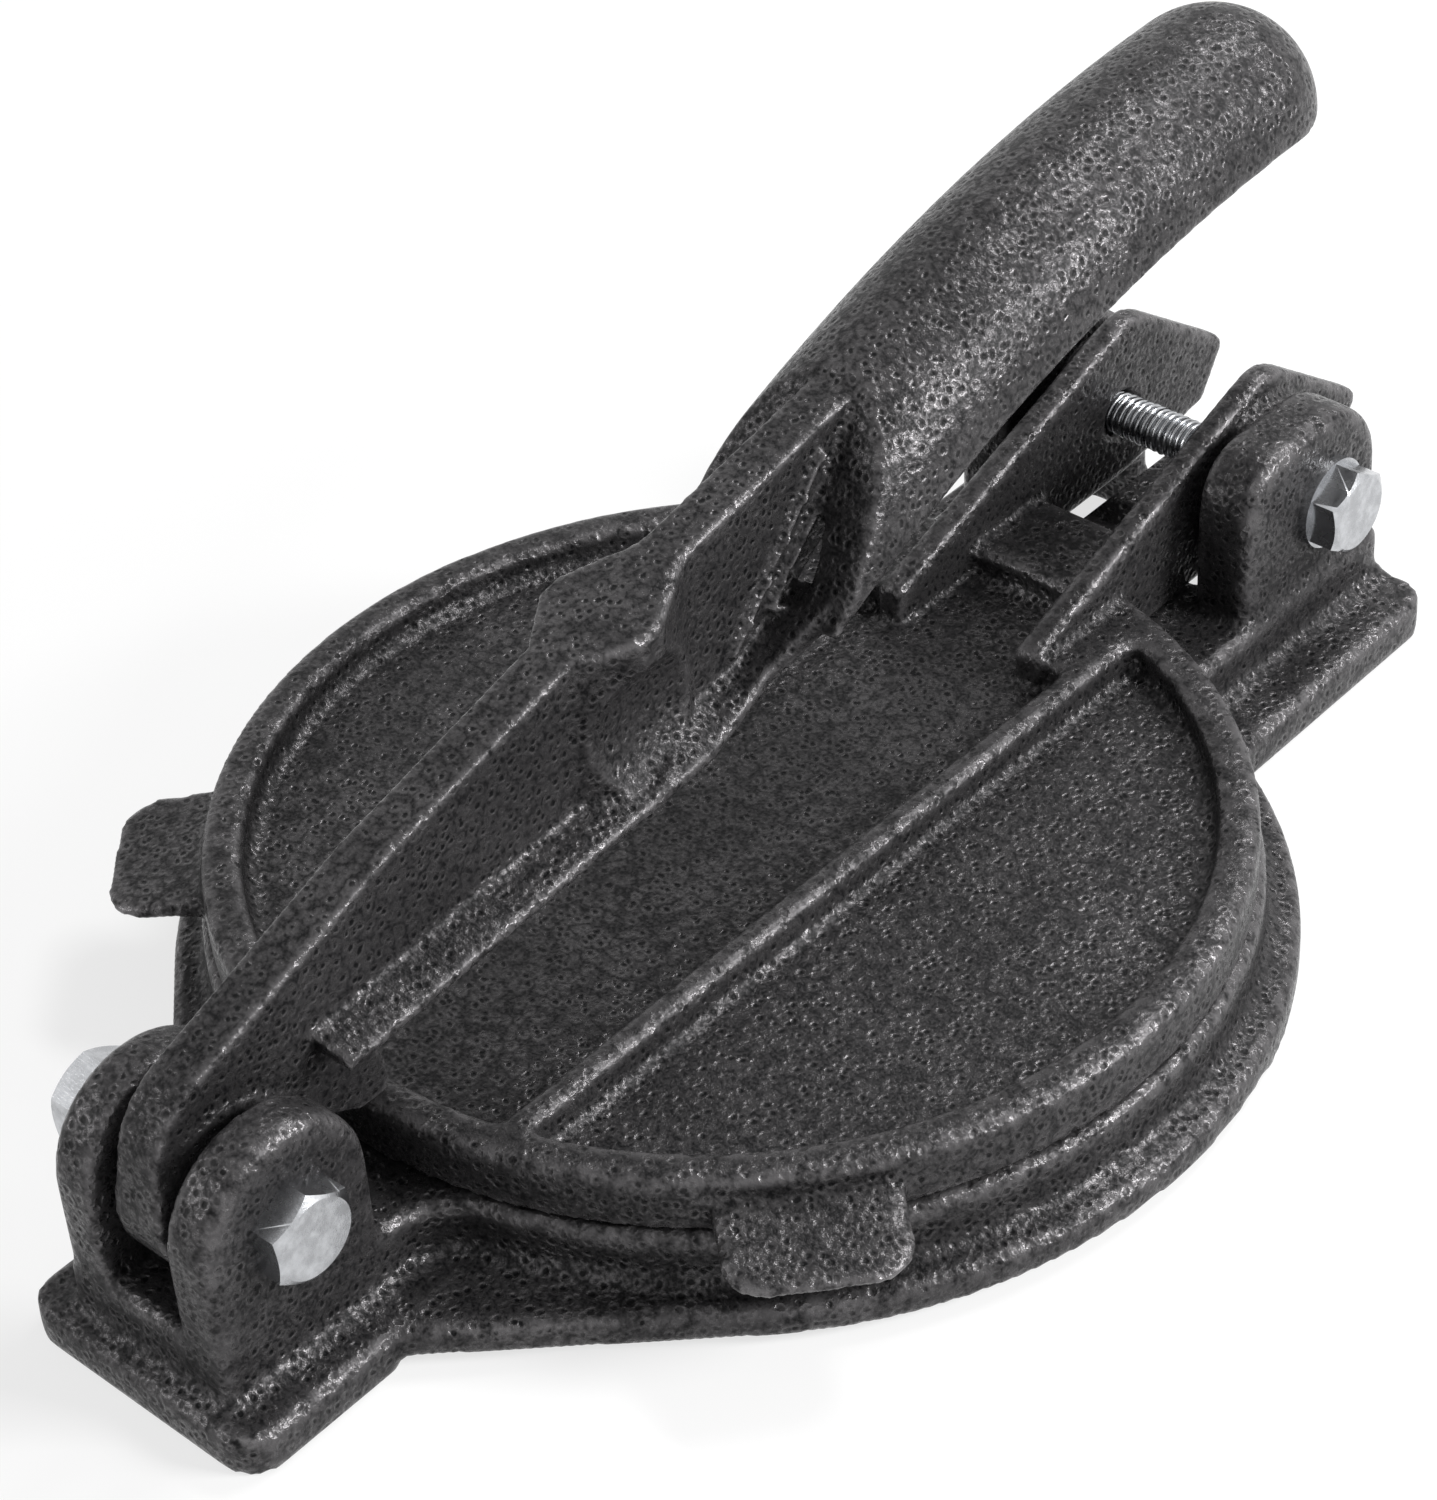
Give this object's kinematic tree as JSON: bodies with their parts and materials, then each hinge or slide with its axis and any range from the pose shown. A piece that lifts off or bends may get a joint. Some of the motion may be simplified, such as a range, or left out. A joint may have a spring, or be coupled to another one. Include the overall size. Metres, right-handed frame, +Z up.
{
  "type": "tortilla press",
  "caption": "Hand press for flattening dough: round cast base, hinged round top plate, and a swing-over lever that bears on the plate's front rim.",
  "frame": {"origin": "on the table, under the middle of the whole press", "axes": "+Z up, away from the table; +Y from the lever pivot towards the plate hinge; +X along both hinge axes, towards the bolt heads"},
  "size_m": [0.221, 0.342, 0.1348],
  "materials": {
    "cast_black": "black hammertone enamel on cast iron",
    "zinc": "bright zinc plate"
  },
  "bodies": {
    "base": {"base": "cast_black", "lever_bolt": "zinc", "lever_washer": "zinc", "lever_nut": "zinc", "hinge_bolt": "zinc", "hinge_washer": "zinc", "hinge_nut": "zinc"},
    "lever": {"lever": "cast_black"},
    "top_plate": {"top_plate": "cast_black"}
  },
  "joints": [
    {"name": "lever_pivot", "type": "hinge", "parent": "base", "child": "lever", "pos_m": [0, -0.14625, 0.0395], "axis": [1, 0, 0], "range_deg": [0, 100]},
    {"name": "plate_hinge", "type": "hinge", "parent": "base", "child": "top_plate", "pos_m": [0, 0.13375, 0.038], "axis": [-1, 0, 0], "range_deg": [0, 100]}
  ],
  "couplings": [
    {"joint": "plate_hinge", "follows": "lever_pivot", "ratio": 0.12}
  ]
}
